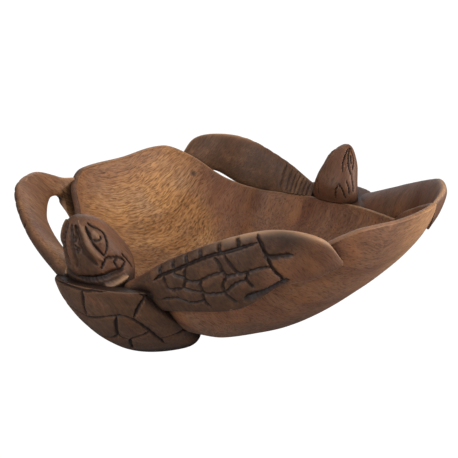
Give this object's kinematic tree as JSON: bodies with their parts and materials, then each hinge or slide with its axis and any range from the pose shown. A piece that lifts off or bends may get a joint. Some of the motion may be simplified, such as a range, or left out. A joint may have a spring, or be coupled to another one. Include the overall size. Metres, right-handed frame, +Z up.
{
  "type": "carved wooden bowl",
  "caption": "Carved hardwood serving bowl held between two sea turtles whose flippers loop round its high corners like handles.",
  "frame": {"origin": "on the ground plane under the middle of the bowl, at the centre of its flat foot", "axes": "+Z up; X runs from turtle to turtle, the near turtle at -X and the far turtle at +X; Y runs across the bowl between its two tall sides"},
  "size_m": [0.316, 0.2732, 0.106],
  "materials": {
    "oiled_wood": "satin",
    "stained_wood": "satin"
  },
  "bodies": {
    "root": {"basin": "oiled_wood", "near_shell": "stained_wood", "near_head": "stained_wood", "near_right_flipper": "stained_wood", "near_left_flipper": "stained_wood", "far_shell": "stained_wood", "far_head": "stained_wood", "far_right_flipper": "stained_wood", "far_left_flipper": "stained_wood"}
  },
  "joints": []
}
